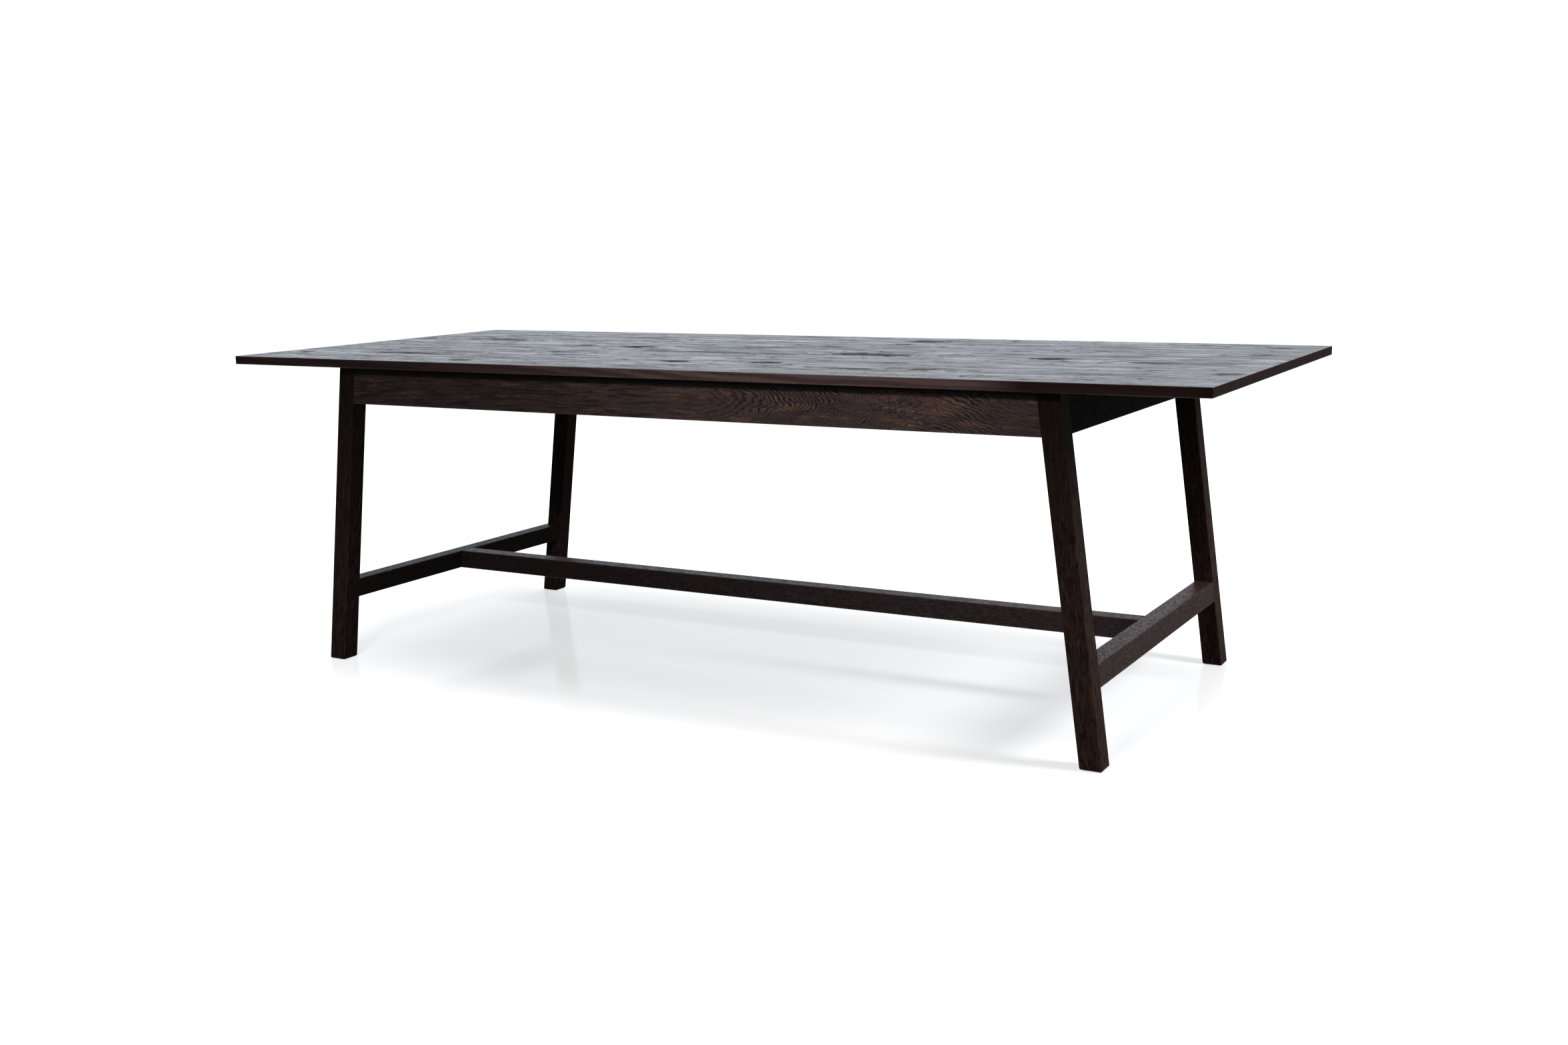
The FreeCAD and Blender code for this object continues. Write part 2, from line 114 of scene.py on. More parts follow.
TOP_LOOK = dict(
    LEG_LOOK,
    colours=((0.010, 0.0075, 0.008), (0.068, 0.044, 0.041), (0.092, 0.055, 0.043)),
    stain_colour=(0.006, 0.003, 0.0025),
    spacing=0.0048, ring=0.7, hair=0.2, hair_spacing=0.021,
    slow=(0.9, 3.0, 3.0), waviness=0.012, quick=(24.0, 60.0, 60.0), raggedness=0.0015,
    streaks=(8.0, 60.0, 60.0), sharp=(0.57, 0.67), streak=0.8,
    patches=(5.0, 26.0, 26.0), warmth=(0.52, 0.72), lines=(7.0, 32.0, 32.0), pore=0.35, seam=0.7, wear_and_highlight=1.0,
    gloss=0.13, roughened=0.25, dull=0.42, lined=0.64, sawn=0.8, painted_sheen_saturation=0.45, bump=0.05, ior=1.187,
)
APRON_LOOK = dict(
    LEG_LOOK,
    colours=((0.005, 0.0042, 0.0048), (0.073, 0.0500, 0.0465), (0.126, 0.075, 0.052)),
    stain_colour=(0.005, 0.0042, 0.0048),
    spacing=0.0070, crest=(0.35, 1.3), fade=(22.0, 60.0, 60.0), ring=1.0, hair=0.7, hair_spacing=0.0032,
    slow=(4.0, 16.0, 16.0), waviness=0.030, quick=(40.0, 110.0, 110.0), raggedness=0.010,
    drift=0.14, calm=((0.30, -0.05, 0.35), (0.72, 0.86, 0.45)),
    streaks=(14.0, 160.0, 160.0), sharp=(0.465, 0.58), streak=0.95, figured=0.75,
    patches=(8.0, 90.0, 90.0), warmth=(0.51, 0.64), bump=0.3, ior=1.06,
)
INNER_LOOK = dict(
    LEG_LOOK,
    colours=((0.020, 0.012, 0.008), (0.070, 0.044, 0.028), (0.110, 0.070, 0.042)),
    spacing=0.005, ring=0.5, slow=(2.0, 8.0, 8.0), quick=(20.0, 120.0, 120.0),
    streaks=(6.0, 120.0, 120.0), sharp=(0.43, 0.64), streak=0.4,
    patches=(5.0, 26.0, 26.0), warmth=(0.52, 0.72), pore=0.4, wear_and_highlight=1.0, roughened=0.25, bump=0.3, ior=1.3,
)

# What all the oak has in common: noises as detail and roughness, then ranges, shares, scales and lengths
SOFT = (3.0, 0.5)
BROKEN = (4.0, 0.7)
RAGGED = (5.0, 0.7)
CURLED = (1.0, 0.5)
NOISE_MIDDLE = 0.5
SEED_STRIDE = (3.7, 1.3, 2.1)
SIDEWAYS_RANGE = (0.9, 0.3)
UPWARD_RANGE = (0.3, 0.9)
FADE_RANGE = (0.3, 0.6)
FADE_SHARE = 0.8
HAIR_RANGE = (0.0, 0.9)
FLECK_RANGE = (0.55, 0.68)
PORE_SCALE = (60.0, 750.0, 750.0)
PORE_RANGE = (0.5, 0.62)
RING_PORE_SHARE = 0.25
RING_WARMTH_LOSS_SHARE = 0.6
KNOT_FRAY = 3.6
KNOT_RANGE = (1.3, 0.4)
SWIRL_LENGTH_SHARE = 3.5
SWIRL_WIDTH_SHARE = 2.0
SWIRL_RANGE = (1.0, 0.1)
SWIRL_PUSH_SHARE = 0.45
BURR_RANGE = (1.0, 0.3)
BURR_CURL_SCALE = (50.0, 70.0, 70.0)
BURR_CURL = 0.03
BURR_DASH_SCALE = (90.0, 260.0, 260.0)
BURR_DASH_RANGE = (0.46, 0.62)
BURR_FIGURE_LOSS_SHARE = 0.3
SPOT_FRAY = 1.2
SPOT_RANGE = (1.0, 0.3)
ARRIS_WIDTH = 0.004
ARRIS_FULL_WIDTH = 0.0005
ARRIS_UNEVEN_SHARE = 0.8
ARRIS_LEAST_SHARE = 0.1
ARRIS_SHINE = 0.08
SEAM_WIDTH = 0.0022
SEAM_FULL_WIDTH = 0.0006
PORE_DEPTH_SHARE = 0.4
RELIEF_DEPTH = 0.0006

# The log that a board is cut from: where its heart lies from the board's middle, across and into the board,
# how much the rings' distance from it grows along the grain, and the seed of the board's noise
Log = namedtuple("Log", "heart_across heart_deep taper seed")
APRON_LOG = Log(0.006, 0.03, 0.03, 21)
END_APRON_LOG = Log(0.01, 0.035, 0.08, 31)
END_STRETCHER_LOG = Log(0.05, 0.06, 0.02, 41)
CENTRE_LOG = Log(0.05, 0.05, 0.02, 51)
LEG_LOG = Log(0.05, 0.06, 0.02, 61)
INNER_LOG = Log(0.03, 0.05, 0.02, 71)

# The top's planks are drawn between these limits. The front one has a heart of its own and the plain tone.
PLANK_DRAW_SEED = 11
PLANK_HEART_ACROSS = (-0.03, 0.03)
PLANK_HEART_DEEP = (-0.10, -0.05)
PLANK_TAPER = (0.008, 0.02)
PLANK_TONE = (0.8, 1.1)
FRONT_PLANK_HEART = {"heart_across": 0.05, "heart_deep": -0.03}

# Knots and dark streaks of the top: middle x and y, half length and half width, strength
KNOTS = (
    (-0.376, 0.036, 0.045, 0.028, 1.0),
    (-0.544, 0.044, 0.035, 0.022, 0.8),
    (0.304, -0.020, 0.110, 0.034, 1.0),
    (0.728, -0.012, 0.045, 0.030, 1.0),
    (-0.072, -0.060, 0.230, 0.016, 0.7),
    (-0.048, 0.100, 0.110, 0.018, 0.6),
    (0.168, -0.276, 0.036, 0.026, 1.0),
    (-0.048, -0.308, 0.040, 0.024, 0.9),
    (-0.824, -0.292, 0.120, 0.024, 0.8),
    (-0.888, 0.156, 0.060, 0.022, 0.8),
    (-0.552, -0.428, 0.036, 0.020, 0.8),
    (-0.472, -0.156, 0.040, 0.020, 0.7),
    (0.400, -0.356, 0.080, 0.020, 0.7),
    (0.576, -0.332, 0.040, 0.022, 0.8),
    (0.965, -0.052, 0.075, 0.020, 0.7),
    (1.104, 0.404, 0.040, 0.022, 0.7),
    (0.248, 0.388, 0.056, 0.040, 0.8),
    (0.232, 0.276, 0.030, 0.024, 0.8),
    (1.120, 0.196, 0.035, 0.022, 0.7),
    (1.160, -0.252, 0.030, 0.022, 0.7),
    (-1.136, 0.132, 0.030, 0.020, 0.7),
    (-1.128, -0.332, 0.030, 0.020, 0.7),
)

# Marks of a board, from its middle in metres. The grain dives through the face from one x to another, by so
# much; the heart rises in the same way. Knots, burrs and warm spots have a middle along and across, a half
# length and a half width, and knots and burrs a strength. Stain and painted shade run along or across, from
# none at one place to so much at another, on faces that look sideways, towards stain_colour.
NO_MARKS = {"dives": (), "heart_rises": (), "knots": (), "burrs": (), "warm_spots": (), "stain": ()}
APRON_MARKS = {
    "dives": ((0.10, 0.62, 0.19), (0.64, 0.90, -0.07), (-0.30, -0.10, 0.03)),
    "heart_rises": ((0.36, 0.54, 0.055),),
    "burrs": ((0.575, 0.000, 0.140, 0.055, 0.9),),
    "warm_spots": (
        (0.555, 0.022, 0.030, 0.010),
        (0.585, -0.004, 0.035, 0.008),
        (0.672, 0.008, 0.075, 0.022),
        (0.164, 0.020, 0.030, 0.014),
        (0.022, 0.014, 0.120, 0.012),
        (-0.198, 0.022, 0.070, 0.010),
        (-0.640, 0.014, 0.100, 0.012),
    ),
    # Painted shade on the aprons: darker towards the left and at the right end, and a painted shadow band
    # under the top's overhang.
    "stain": (("along", 0.62, -0.55, 0.68), ("along", 0.66, 0.86, 0.5), ("across", 0.026, 0.038, 0.93)),
}
END_GRAIN_STAIN = (("along", 1.150, 1.195, 1.0), ("along", -1.150, -1.195, 1.0))
# Painted shade on the front plank's sides: darker towards both ends, where less light falls.
FRONT_PLANK_PAINTED_SHADE = (("along", 0.72, 0.86, 0.92), ("along", 0.4, -0.8, 0.82))
# Painted shade: the centre stretcher is darker towards the left, where less light falls.
CENTRE_PAINTED_SHADE = (("along", 0.8, -0.8, 0.6),)
# Painted shade: the legs are darker towards their tops, in the shade under the table top.
LEG_PAINTED_SHADE = (("along", -0.25, 0.3, 0.6), ("along", 0.22, 0.32, 0.4))

# Small dark mark with a pale rim on the front right leg, near its top
LEG_MARKS = {
    "leg_front_right": {
        "knots": ((0.313, -0.012, 0.006, 0.0045, 0.9),),
        "warm_spots": ((0.3165, -0.0130, 0.0032, 0.0022),),
    },
}

# Hidden wooden pieces by the start of their names: direction of the grain and of the width, and the axes of
# the box whose half sizes the board takes in turn
INNER_BOARDS = {
    "plank_tongue_": (X_AXIS, Y_AXIS, (0, 1, 2)),
    "bearer_": (Y_AXIS, X_AXIS, (1, 0, 2)),
    "corner_block_": (X_AND_Y, Z_AXIS, (0, 1, 2)),
    "apron_buttons": (Y_AXIS, X_AXIS, (0, 1, 2)),
    "end_apron_buttons": (Y_AXIS, X_AXIS, (0, 1, 2)),
}

# Zinc plated steel with clouds and scratches, and moulded nylon with a fine grain and scuffs
STEEL_LOOK = {
    "dark": (0.50, 0.49, 0.46), "bright": (0.66, 0.65, 0.61),
    "clouds": (260.0, 260.0, 260.0), "cloud_range": (0.35, 0.7),
    "scratches": (3000.0, 3000.0, 300.0), "scratch_share": 0.4,
    "rough_range": (0.4, 1.0), "smoothest": 0.25, "roughest": 0.5, "bump": 0.2, "depth": 0.0001,
}
NYLON_LOOK = {
    "plain": (0.020, 0.018, 0.017), "scuffed": (0.040, 0.037, 0.034),
    "grain": (2500.0, 2500.0, 2500.0), "scuffs": (160.0, 160.0, 160.0), "scuff_noise": (4.0, 0.5),
    "scuff_range": (0.45, 0.7),
    "smoothest": 0.4, "grain_rough": 0.15, "scuff_rough": 0.2, "bump": 0.3, "depth": 0.0001, "ior": 1.53,
}

# The studio: colour and level of the light from all round, of what mirrors see, and of what the camera sees
STUDIO = (((0.93, 0.96, 1.0), 0.04), ((0.82, 0.90, 1.0), 1.0), ((1.0, 1.0, 1.0), 1.0))

# The floor glows white but for a rounded patch under the table, where the glow is dimmed as a painted shadow,
# darker towards the right, and the real shadow stays as well. The patch has its middle and half size in x and
# in y, and a power that squares its corners.
FLOOR_HALF = 30.0
PAINTED_SHADOW_PATCH = ((0.06, 1.40), (0.04, 0.71))
PAINTED_SHADOW_POWER = 5.0
PAINTED_SHADOW_FADE_RANGE = (0.5, 1.25)
PAINTED_SHADOW_X_RANGE = (-0.6, 0.8)
PAINTED_SHADOW_LEVELS = (0.55, 0.43)
WHITE_LEVEL = 1.0
FLOOR_GLOW = (0.975, 0.985, 1.0)
FLOOR_GREY = (0.25, 0.25, 0.25)
FLOOR_GREY_SEEN = (0.36, 0.36, 0.36)
FLOOR_MIRROR = (0.10, 0.10, 0.10)
FLOOR_MIRROR_ROUGHNESS = 0.12

# Lamps: name, place, what they aim at, size, power in watts, colour
LAMPS = (
    ("overhead", (0.2, 0.1, 4.5), (0.0, 0.0, 0.0), (5.0, 4.0), 120.0, (1.0, 0.99, 0.98)),
    ("right", (3.8, 0.15, 2.4), (0.9, 0.0, 0.3), (0.9, 1.3), 190.0, (1.0, 0.98, 0.96)),
    ("front", (0.6, -3.2, 1.95), (0.3, -0.45, 0.7), (0.8, 0.25), 75.0, (1.0, 0.97, 0.95)),
    ("back", (-1.2, 4.0, 2.4), (0.0, 0.0, 0.5), (3.5, 2.0), 100.0, (0.95, 0.97, 1.0)),
)

# The camera, solved from the table's straight edges: place in metres, turn in degrees, focal length in
# pixels of the picture that it was solved in
CAMERA_PLACE = (1.97378, -3.39478, 1.0475)
CAMERA_HEADING = 29.53356
CAMERA_TILT = -10.2261
CAMERA_ROLL = -1.05589
FOCAL_PIXELS = 2497.17
PICTURE_WIDTH_PIXELS = 2352
SENSOR_WIDTH = 36.0
CAMERA_CLIP_END = 200.0


class Graph:
    """Adds shader nodes to one material or world with short calls."""

    def __init__(self, owner):
        owner.use_nodes = True
        self.tree = owner.node_tree
        self.tree.nodes.clear()

    def feed(self, socket, value):
        if isinstance(value, bpy.types.NodeSocket):
            self.tree.links.new(value, socket)
        else:
            socket.default_value = value

    def node(self, kind, inputs, **settings):
        made = self.tree.nodes.new(kind)
        for key, value in settings.items():
            setattr(made, key, value)
        for key, value in inputs.items():
            self.feed(made.inputs[key], value)
        return made

    def math(self, operation, *values):
        return self.node("ShaderNodeMath", dict(enumerate(values)), operation=operation).outputs[0]

    def vector(self, operation, *values):
        return self.node("ShaderNodeVectorMath", dict(enumerate(values)), operation=operation).outputs

    def most(self, *values):
        """The largest of several values."""
        largest = values[0]
        for value in values[1:]:
            largest = self.math("MAXIMUM", largest, value)
        return largest

    def noise(self, place, scale, detail=2.0, roughness=0.5):
        scaled = self.vector("MULTIPLY", place, scale)[0]
        inputs = {"Vector": scaled, "Scale": 1.0, "Detail": detail, "Roughness": roughness}
        return self.node("ShaderNodeTexNoise", inputs).outputs

    def span(self, value, low, high, to_low=0.0, to_high=1.0):
        """A soft step from to_low, where the value is low, to to_high, where it is high."""
        inputs = {"Value": value, "From Min": low, "From Max": high, "To Min": to_low, "To Max": to_high}
        return self.node("ShaderNodeMapRange", inputs, interpolation_type="SMOOTHSTEP").outputs[0]

    def blend(self, share, first, second):
        return self.node("ShaderNodeMix", {0: share, 6: first, 7: second}, data_type="RGBA").outputs[2]

    def parts(self, vector):
        return self.node("ShaderNodeSeparateXYZ", {0: vector}).outputs

    def reach(self, place, x, y, half_length, half_width):
        """Distance from a spot on the board's face, 1 on the ellipse with these half sizes."""
        offset = self.vector("SUBTRACT", place, (x, y, 0.0))[0]
        scaled = self.vector("MULTIPLY", offset, (1 / half_length, 1 / half_width, 0.0))[0]
        return self.vector("LENGTH", scaled)["Value"]

    def fray(self, distance, noise, amount):
        """A distance that noise pushes to and fro, by half the amount at most."""
        return self.math("MULTIPLY_ADD", noise, amount, self.math("SUBTRACT", distance, amount / 2))

    def bump(self, height, strength, depth):
        inputs = {"Strength": strength, "Distance": depth, "Height": height}
        return self.node("ShaderNodeBump", inputs).outputs[0]

    def end(self, shader, kind="ShaderNodeOutputMaterial"):
        self.feed(self.node(kind, {}).inputs["Surface"], shader.outputs[0])

    def end_principled(self, **inputs):
        """Ends with a principled shader. The inputs' names have low lines for spaces."""
        spaced = {key.replace("_", " "): value for key, value in inputs.items()}
        self.end(self.node("ShaderNodeBsdfPrincipled", spaced))


def rgba(colour):
    return (*colour, 1.0)


class Board:
    """Where a board lies: its middle, the directions of its grain and width, and its half sizes.

    Arrises are worn, and get a painted highlight, where the box with these half sizes has its edges. Its
    middle may lie off the board's."""

    def __init__(self, middle, grain, width, halves, box_middle=(0.0, 0.0, 0.0)):
        self.middle = Vector(middle)
        self.grain = Vector(grain).normalized()
        self.width = Vector(width).normalized()
        self.halves = halves
        self.box_middle = box_middle

    def turn(self):
        depth = self.grain.cross(self.width)
        return Matrix((self.grain, self.width, depth)).transposed().to_euler()


class Oak:
    """Stained oak of one board. Its steps are called in turn, and each builds on what earlier ones found."""

    def __init__(self, name, board, look, log):
        self.material = bpy.data.materials.new(name)
        self.graph = Graph(self.material)
        self.board = board
        self.look = look
        self.log = log
        graph = self.graph
        found = graph.node("ShaderNodeTexCoord", {}).outputs
        turned = {"Vector": found["Object"], "Location": board.middle, "Rotation": board.turn()}
        self.place = graph.node("ShaderNodeMapping", turned, vector_type="TEXTURE").outputs[0]
        self.shifted = graph.vector("ADD", self.place, [log.seed * stride for stride in SEED_STRIDE])[0]
        self.along, self.across, self.deep = graph.parts(self.place)
        self.upward = graph.parts(found["Normal"])[2]
        self.sideways = graph.span(graph.math("ABSOLUTE", self.upward), *SIDEWAYS_RANGE)
        self.quick = graph.parts(self.noise("quick", SOFT)["Color"])
        self.fleck = self.noise("flecks", RAGGED)["Fac"]
        self.figure = 1.0
        self.knot = 0.0
        self.dash = 0.0
        self.spot = 0.0

    def noise(self, scale, kind=()):
        """Noise over the board with a scale that the look names."""
        return self.graph.noise(self.shifted, self.look[scale], *kind)

    def wave(self, spacing):
        """A wave that follows the rings."""
        return self.graph.math("SINE", self.graph.math("MULTIPLY", self.distance, 2 * math.pi / spacing))

    def bend_grain(self, heart_rises):
        """Finds the distance from the heart, with the grain's bends, and the place along the bent grain."""
        graph, look, log = self.graph, self.look, self.log
        slow = graph.parts(self.noise("slow", SOFT)["Color"])
        for start, end, share in look["calm"]:
            calmed = graph.span(self.along, start, end, 1.0, share)
            self.figure = graph.math("MULTIPLY", self.figure, calmed)
        bends = []
        for index in (0, 1):
            wide = graph.math("MULTIPLY_ADD", slow[index], 2 * look["waviness"], -look["waviness"])
            bends.append(graph.math("MULTIPLY", wide, self.figure))
        drift = graph.math("SUBTRACT", slow[2], NOISE_MIDDLE)
        self.bent = graph.math("MULTIPLY_ADD", drift, look["drift"], self.along)
        side = graph.math("ADD", graph.math("SUBTRACT", self.across, log.heart_across), bends[0])
        for start, end, rise in heart_rises:
            side = graph.math("SUBTRACT", side, graph.span(self.bent, start, end, 0.0, rise))
        depth = graph.math("ADD", graph.math("SUBTRACT", self.deep, log.heart_deep), bends[1])
        squares = graph.math("MULTIPLY_ADD", side, side, graph.math("MULTIPLY", depth, depth))
        distance = graph.math("MULTIPLY_ADD", self.along, log.taper, graph.math("SQRT", squares))
        self.distance = graph.math("MULTIPLY_ADD", self.quick[0], look["raggedness"], distance)

    def add_knots(self, knots):
        """Knots push the rings aside and darken the wood."""
        graph = self.graph
        for x, y, half_length, half_width, strength in knots:
            swirl_length = SWIRL_LENGTH_SHARE * half_length
            swirl_width = SWIRL_WIDTH_SHARE * half_width
            swirl = graph.reach(self.place, x, y, swirl_length, swirl_width)
            push = graph.span(swirl, *SWIRL_RANGE, 0.0, SWIRL_PUSH_SHARE * half_width)
            self.distance = graph.math("ADD", self.distance, push)
            reach = graph.reach(self.place, x, y, half_length, half_width)
            frayed = graph.fray(reach, self.fleck, KNOT_FRAY)
            self.knot = graph.most(self.knot, graph.span(frayed, *KNOT_RANGE, 0.0, strength))

    def add_dives(self, dives):
        """The grain dives through the face."""
        for start, end, rise in dives:
            sunk = self.graph.span(self.bent, start, end, 0.0, rise)
            self.distance = self.graph.math("ADD", self.distance, sunk)

    def add_burrs(self, burrs):
        """Burrs curl the rings, break the wood into dark dashes and weaken the figure."""
        graph = self.graph
        for x, y, half_length, half_width, strength in burrs:
            reach = graph.reach(self.place, x, y, half_length, half_width)
            inside = graph.span(reach, *BURR_RANGE, 0.0, strength)
            curl = graph.noise(self.shifted, BURR_CURL_SCALE, *CURLED)["Fac"]
            curled = graph.math("MULTIPLY", graph.math("MULTIPLY", inside, BURR_CURL), curl)
            self.distance = graph.math("ADD", self.distance, curled)
            dashes = graph.noise(self.shifted, BURR_DASH_SCALE, *BROKEN)["Fac"]
            dashes = graph.math("MULTIPLY", inside, graph.span(dashes, *BURR_DASH_RANGE))
            self.dash = graph.most(self.dash, dashes)
            kept = graph.math("MULTIPLY_ADD", inside, -BURR_FIGURE_LOSS_SHARE, 1.0)
            self.figure = graph.math("MULTIPLY", self.figure, kept)

    def add_warm_spots(self, spots):
        """Spots that took less stain."""
        graph = self.graph
        for x, y, half_length, half_width in spots:
            reach = graph.reach(self.place, x, y, half_length, half_width)
            frayed = graph.fray(reach, self.quick[2], SPOT_FRAY)
            self.spot = graph.most(self.spot, graph.span(frayed, *SPOT_RANGE))

    def seam(self):
        """1 on level faces along a plank's two edges, 0 elsewhere."""
        graph = self.graph
        off = graph.math("ABSOLUTE", self.across)
        edge = graph.span(off, PLANK_WIDTH / 2 - SEAM_WIDTH, PLANK_WIDTH / 2 - SEAM_FULL_WIDTH)
        return graph.math("MULTIPLY", edge, graph.math("SUBTRACT", 1.0, self.sideways))

    def draw_grain(self):
        """Finds how dark and how warm the wood is, from rings, fine lines, streaks, pores and patches."""
        graph, look = self.graph, self.look
        fade = graph.span(self.noise("fade")["Fac"], *FADE_RANGE)
        faded = graph.math("MULTIPLY_ADD", fade, FADE_SHARE, self.wave(look["spacing"]))
        ring = graph.span(faded, *look["crest"])
        hair = graph.span(self.wave(look["hair_spacing"]), *HAIR_RANGE)
        self.hair = graph.math("MULTIPLY", graph.math("MULTIPLY", hair, look["hair"]), self.figure)
        streak = graph.span(self.noise("streaks", RAGGED)["Fac"], *look["sharp"])
        plain = graph.math("MULTIPLY_ADD", self.figure, -look["figured"], 1.0)
        self.streak = graph.math("MULTIPLY", streak, plain)
        self.pores = graph.span(graph.noise(self.shifted, PORE_SCALE)["Fac"], *PORE_RANGE)
        pored = graph.math("MULTIPLY_ADD", self.pores, RING_PORE_SHARE, 1 - RING_PORE_SHARE)
        band = graph.math("MULTIPLY", graph.math("MULTIPLY", ring, pored), self.figure)
        weighed = ((band, "ring"), (self.streak, "streak"), (self.pores, "pore"), (self.seam(), "seam"))
        layers = [graph.math("MULTIPLY", value, look[strength]) for value, strength in weighed]
        self.dark = graph.most(*layers, self.hair, self.knot, self.dash)
        patch = graph.span(self.noise("patches", SOFT)["Fac"], *look["warmth"])
        between_rings = graph.math("MULTIPLY_ADD", ring, -RING_WARMTH_LOSS_SHARE, 1.0)
        self.warm = graph.math("MULTIPLY", graph.most(patch, self.spot), between_rings)

    def find_worn_and_highlit_arrises(self):
        """Finds where the arrises of the board's box are worn and get a painted highlight, unevenly."""
        graph, board, look = self.graph, self.board, self.look
        near = []
        coordinates = (self.along, self.across, self.deep)
        for coordinate, half, middle in zip(coordinates, board.halves, board.box_middle):
            off = graph.math("ABSOLUTE", graph.math("SUBTRACT", coordinate, middle))
            near.append(graph.span(off, half - ARRIS_WIDTH, half - ARRIS_FULL_WIDTH))
        pairs = ((0, 1), (1, 2), (0, 2))
        arris = graph.most(*(graph.math("MULTIPLY", near[first], near[second]) for first, second in pairs))
        share = ARRIS_UNEVEN_SHARE * look["wear_and_highlight"]
        least = ARRIS_LEAST_SHARE * look["wear_and_highlight"]
        self.wear_and_highlight = graph.math("MULTIPLY", arris, graph.math("MULTIPLY_ADD", self.quick[2], share, least))

    def colour(self, stain):
        graph, look = self.graph, self.look
        pore_colour, plain_colour, warm_colour = (rgba(colour) for colour in look["colours"])
        colour = graph.blend(self.warm, plain_colour, warm_colour)
        colour = graph.blend(self.dark, colour, pore_colour)
        # Arrises lighten towards the warm colour: worn stain and a painted highlight.
        colour = graph.blend(self.wear_and_highlight, colour, warm_colour)
        # Stain and painted shade on faces that look sideways: the end grain's runs are stain, the other runs
        # are painted shade.
        for axis, start, end, share in stain:
            coordinate = {"along": self.along, "across": self.across}[axis]
            stained = graph.math("MULTIPLY", self.sideways, graph.span(coordinate, start, end, 0.0, share))
            colour = graph.blend(stained, colour, rgba(look["stain_colour"]))
        # Painted sheen: faces that look up get their saturation scaled.
        if look["painted_sheen_saturation"] == 1.0:
            return colour
        saturation = graph.span(self.upward, *UPWARD_RANGE, 1.0, look["painted_sheen_saturation"])
        return graph.node("ShaderNodeHueSaturation", {"Saturation": saturation, "Color": colour}).outputs[0]

    def roughness(self):
        graph, look = self.graph, self.look
        marked = graph.most(self.streak, graph.span(self.fleck, *FLECK_RANGE), self.knot, self.hair)
        lines = graph.math("SUBTRACT", self.noise("lines", BROKEN)["Fac"], NOISE_MIDDLE)
        added = ((self.dark, look["roughened"]), (marked, look["dull"]), (lines, look["lined"]),
                 (self.wear_and_highlight, -ARRIS_SHINE), (self.sideways, look["sawn"]))
        rough = look["gloss"]
        for value, share in added:
            rough = graph.math("MULTIPLY_ADD", value, share, rough)
        return rough

    def finish(self, stain):
        graph, look = self.graph, self.look
        sunk_pores = graph.math("MULTIPLY", self.pores, -PORE_DEPTH_SHARE)
        height = graph.math("MULTIPLY_ADD", self.dark, -1.0, sunk_pores)
        relief = graph.bump(height, look["bump"], RELIEF_DEPTH)
        colour = self.colour(stain)
        graph.end_principled(Base_Color=colour, Roughness=self.roughness(), IOR=look["ior"], Normal=relief)
        return self.material


def oak(name, board, look, log, **own_marks):
    """Stained oak: rings around the log's heart, cut by the board, with pores, streaks and its own marks."""
    marks = dict(NO_MARKS, **own_marks)
    wood = Oak(name, board, look, log)
    wood.bend_grain(marks["heart_rises"])
    wood.add_knots(marks["knots"])
    wood.add_dives(marks["dives"])
    wood.add_burrs(marks["burrs"])
    wood.add_warm_spots(marks["warm_spots"])
    wood.draw_grain()
    wood.find_worn_and_highlit_arrises()
    return wood.finish(marks["stain"])


def dress(name, material):
    """Gives a CAD node its one material."""
    data = nodes[name].data
    data.materials.clear()
    data.materials.append(material)


def leg_axis_x(z):
    """Where the axis of a right-hand leg is, lengthwise, at height z."""
    return FOOT_AXIS_X - math.tan(LEAN) * z


def leaning(sign):
    """Direction up the end frame on the right (1) or left (-1)."""
    return (-sign * math.sin(LEAN), 0, math.cos(LEAN))


def reseeded(log, step):
    return log._replace(seed=log.seed + step)


def dress_top():
    draw = random.Random(PLANK_DRAW_SEED)
    halves = (TABLE_LENGTH / 2, TABLE_WIDTH / 2, TOP_THICKNESS / 2)
    for number in range(1, PLANK_COUNT + 1):
        y = PLANK_WIDTH * (number - 0.5) - TABLE_WIDTH / 2
        middle = (0.0, y, TABLE_HEIGHT - TOP_THICKNESS / 2)
        board = Board(middle, X_AXIS, Y_AXIS, halves, (0.0, -y, 0.0))
        heart = (draw.uniform(*PLANK_HEART_ACROSS), draw.uniform(*PLANK_HEART_DEEP))
        taper = draw.choice((-1, 1)) * draw.uniform(*PLANK_TAPER)
        log = Log(*heart, taper, number)
        tone = draw.uniform(*PLANK_TONE)
        look = dict(TOP_LOOK, colours=[[tone * part for part in colour] for colour in TOP_LOOK["colours"]])
        stain = END_GRAIN_STAIN
        if number == 1:
            look = TOP_LOOK
            log = log._replace(**FRONT_PLANK_HEART)
            stain = FRONT_PLANK_PAINTED_SHADE + END_GRAIN_STAIN
        knots = []
        for x, knot_y, half_length, half_width, strength in KNOTS:
            if abs(knot_y - y) < PLANK_WIDTH / 2 + half_width:
                knots.append((x, knot_y - y, half_length, half_width, strength))
        material = oak("top_oak_%d" % number, board, look, log, knots=knots, stain=stain)
        dress("top_plank_%d" % number, material)


def dress_long_aprons():
    halves = (APRON_HALF_LENGTH, APRON_HEIGHT / 2, APRON_THICKNESS / 2)
    for side, sign in SIDES:
        board = Board((0.0, sign * APRON_MIDDLE_Y, APRON_MIDDLE_Z), X_AXIS, Z_AXIS, halves)
        log = reseeded(APRON_LOG, sign)._replace(heart_deep=-sign * APRON_LOG.heart_deep)
        dress("apron_" + side, oak("apron_oak_" + side, board, APRON_LOOK, log, **APRON_MARKS))


